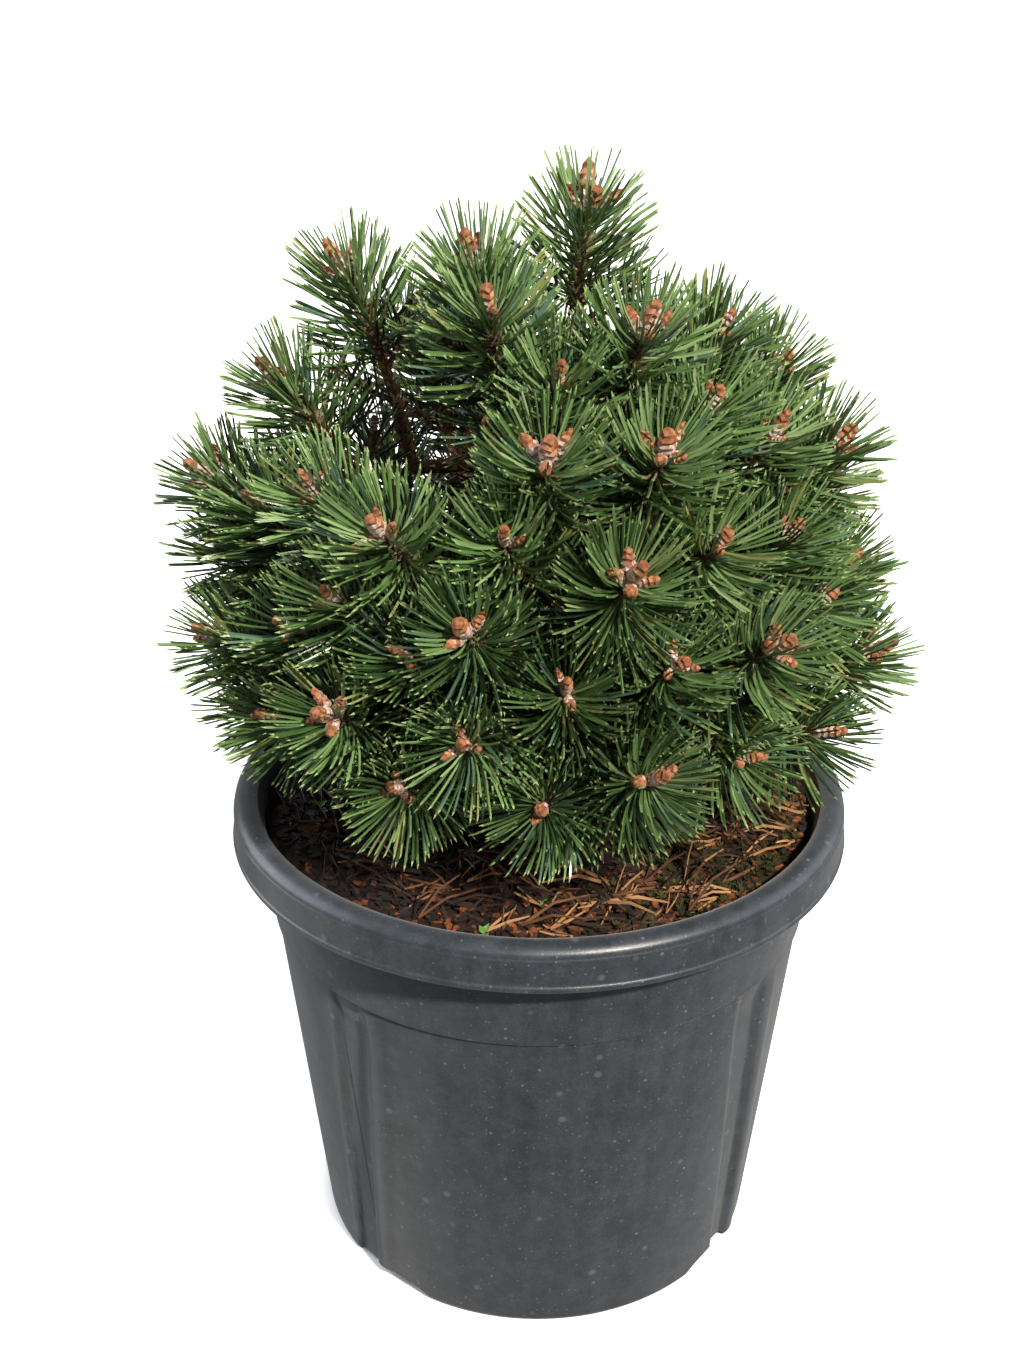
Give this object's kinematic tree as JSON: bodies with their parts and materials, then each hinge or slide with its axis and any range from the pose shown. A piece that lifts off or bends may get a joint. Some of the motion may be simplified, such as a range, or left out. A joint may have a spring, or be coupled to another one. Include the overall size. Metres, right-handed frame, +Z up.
{
  "type": "mugo pine in a nursery pot",
  "caption": "Dwarf mugo pine, a rounded shrub of upturned shoots with needles in dense tufts round orange-brown buds, in a round dark plastic nursery pot.",
  "frame": {"origin": "middle of the pot's flat underside", "axes": "+Z up, the pot's axis; the side that the picture shows faces -Y, and +X is its right"},
  "size_m": [0.3674, 0.3514, 0.5478],
  "materials": {
    "pot_plastic": "dark blue-grey moulded polypropylene, half gloss, with dust and scuffs",
    "soil": "potting soil under old brown needles, bark chips and moss",
    "bark": "grey-brown scaly bark",
    "needles": "mid to dark green needles with paler tips, orange-brown buds with white resin"
  },
  "bodies": {
    "root": {"bough_back_0": "bark", "bough_back_1": "bark", "bough_back_2": "bark", "bough_front_left": "bark", "bough_front_right": "bark", "bough_left": "bark", "bough_right": "bark", "bough_top": "bark", "foliage_back_0": "needles", "foliage_back_1": "needles", "foliage_back_2": "needles", "foliage_back_high_0": "needles", "foliage_back_high_1": "needles", "foliage_back_low_0": "needles", "foliage_back_low_1": "needles", "foliage_back_low_2": "needles", "foliage_centre": "needles", "foliage_crest": "needles", "foliage_front_left": "needles", "foliage_front_right": "needles", "foliage_horn": "needles", "foliage_left": "needles", "foliage_left_front": "needles", "foliage_left_high": "needles", "foliage_low_front": "needles", "foliage_low_left": "needles", "foliage_low_left_outer": "needles", "foliage_low_right": "needles", "foliage_middle": "needles", "foliage_middle_right": "needles", "foliage_right": "needles", "foliage_top": "needles", "foliage_upper_left": "needles", "foliage_upper_right": "needles", "limb_back_high_0": "bark", "limb_back_high_1": "bark", "limb_back_low_0": "bark", "limb_back_low_1": "bark", "limb_back_low_2": "bark", "limb_centre": "bark", "limb_crest": "bark", "limb_horn": "bark", "limb_left_front": "bark", "limb_left_high": "bark", "limb_low_front": "bark", "limb_low_left": "bark", "limb_low_left_outer": "bark", "limb_low_right": "bark", "limb_middle": "bark", "limb_middle_right": "bark", "limb_upper_left": "bark", "limb_upper_right": "bark", "pot": "pot_plastic", "soil": "soil", "trunk": "bark"}
  },
  "joints": []
}
